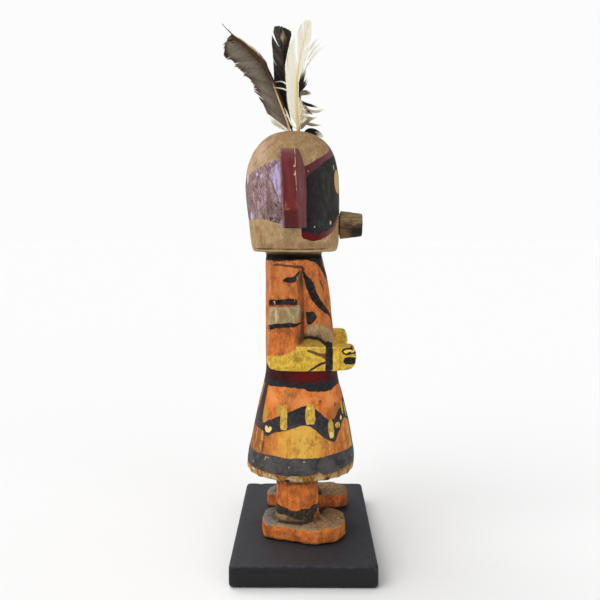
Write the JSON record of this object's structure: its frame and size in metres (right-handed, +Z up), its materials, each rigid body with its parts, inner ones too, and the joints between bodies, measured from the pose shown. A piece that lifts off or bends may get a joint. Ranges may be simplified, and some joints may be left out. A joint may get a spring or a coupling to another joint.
{
  "type": "kachina doll",
  "caption": "Carved and painted wooden kachina doll with a domed helmet head, ears, a tube snout and upright feathers, standing on a flat rectangular display base.",
  "frame": {"origin": "centre of the base's underside", "axes": "+Z up, the figure faces -Y, and its right side is at -X"},
  "size_m": [0.12, 0.0831, 0.2926],
  "materials": {
    "painted_wood": "matte",
    "red_ear_wood": "satin",
    "snout_wood": "satin",
    "black_base": "satin",
    "brown_feather_vane": "matte",
    "black_feather_vane": "matte",
    "white_feather_vane": "matte",
    "barred_feather_vane": "matte",
    "short_dark_feather_vane": "matte"
  },
  "bodies": {
    "root": {"base": "black_base", "figure": "painted_wood", "right_ear": "red_ear_wood", "left_ear": "red_ear_wood", "snout": "snout_wood", "brown_feather": "brown_feather_vane", "black_feather": "black_feather_vane", "white_feather": "white_feather_vane", "barred_feather": "barred_feather_vane", "short_dark_feather": "short_dark_feather_vane"}
  },
  "joints": []
}
